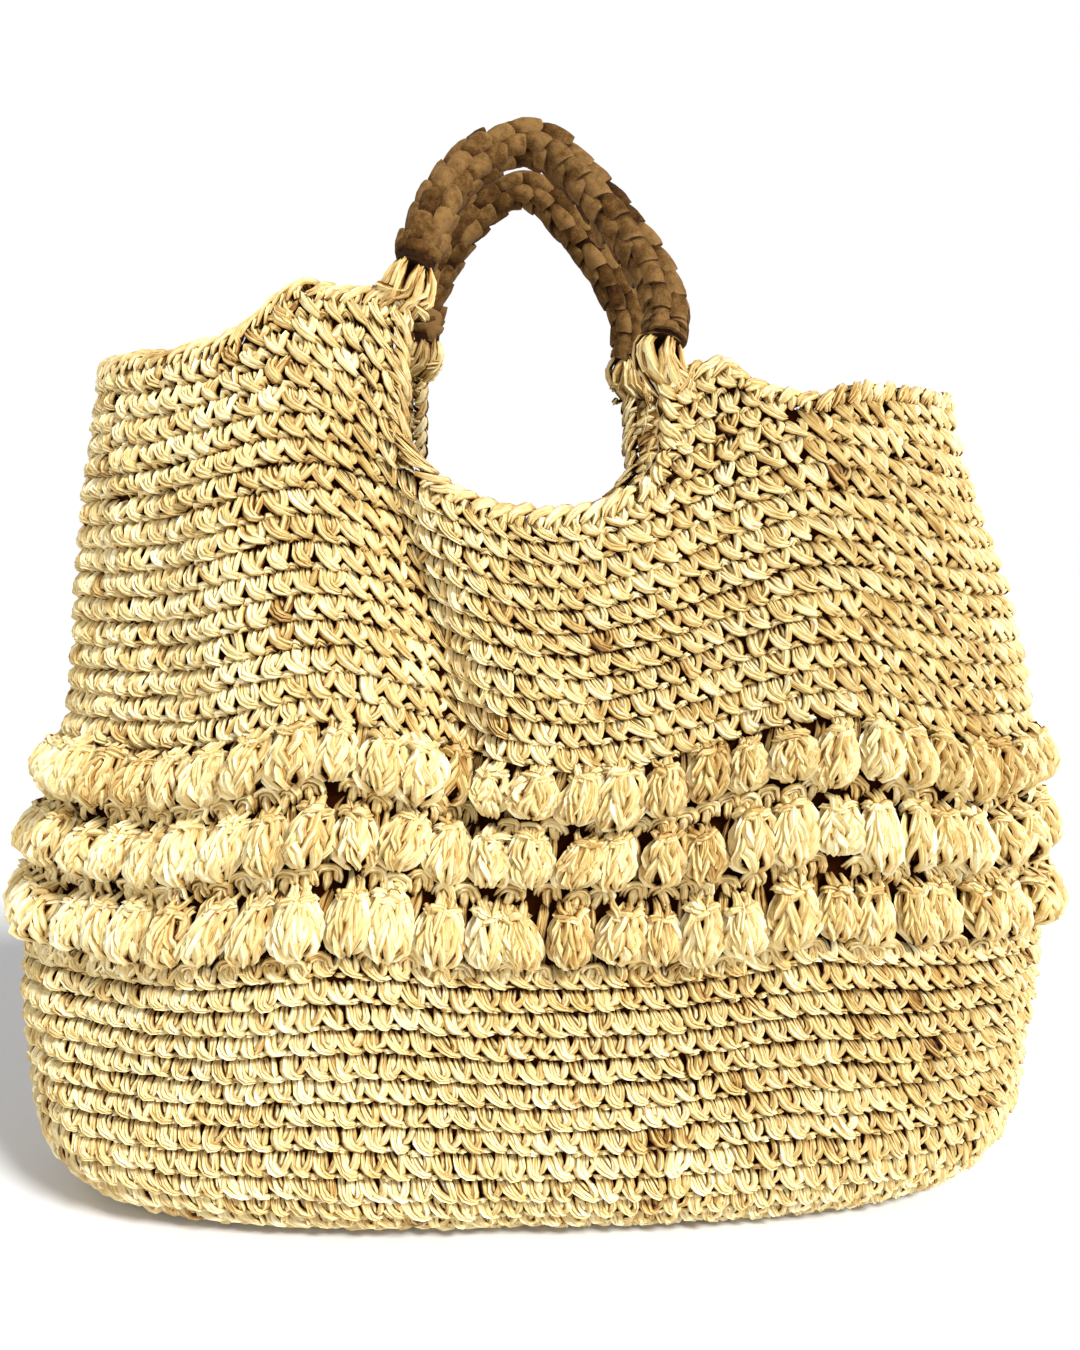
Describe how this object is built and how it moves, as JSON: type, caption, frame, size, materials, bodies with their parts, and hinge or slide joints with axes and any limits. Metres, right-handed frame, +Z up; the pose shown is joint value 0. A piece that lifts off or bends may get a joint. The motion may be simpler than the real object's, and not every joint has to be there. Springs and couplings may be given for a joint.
{
  "type": "beach bag",
  "caption": "Crocheted natural raffia beach tote with bobble rounds round its middle and short plaited brown suede handles.",
  "frame": {"origin": "middle of the flat underside of the base", "axes": "+Z up, the front with its hand opening towards -Y, the long sides along X"},
  "size_m": [0.4701, 0.1928, 0.4631],
  "materials": {
    "raffia": "satin natural raffia, crocheted",
    "suede": "matt brown suede strips, plaited",
    "core_cord": "matt cotton cord"
  },
  "bodies": {
    "bag": {"base_panel": "raffia", "lower_wall": "raffia", "bobble_round_1": "raffia", "spacer_round_1": "raffia", "bobble_round_2": "raffia", "spacer_round_2": "raffia", "bobble_round_3": "raffia", "upper_wall": "raffia", "left_wing": "raffia", "right_wing": "raffia", "left_mouth_edging": "raffia", "right_mouth_edging": "raffia", "front_opening_edging": "raffia", "back_opening_edging": "raffia"},
    "front_handle": {"front_handle_core": "core_cord", "front_handle_cover": "suede", "front_left_collar": "suede", "front_left_lashing": "raffia", "front_right_collar": "suede", "front_right_lashing": "raffia"},
    "back_handle": {"back_handle_core": "core_cord", "back_handle_cover": "suede", "back_left_collar": "suede", "back_left_lashing": "raffia", "back_right_collar": "suede", "back_right_lashing": "raffia"}
  },
  "joints": [
    {"name": "front_handle_swing", "type": "hinge", "parent": "bag", "child": "front_handle", "pos_m": [-0.0045, -0.05944, 0.36999], "axis": [0.9636, 0, -0.2672], "range_deg": [-10, 125]},
    {"name": "back_handle_swing", "type": "hinge", "parent": "bag", "child": "back_handle", "pos_m": [-0.0045, 0.05949, 0.37182], "axis": [-0.9969, 0, 0.0785], "range_deg": [-35, 100]}
  ]
}
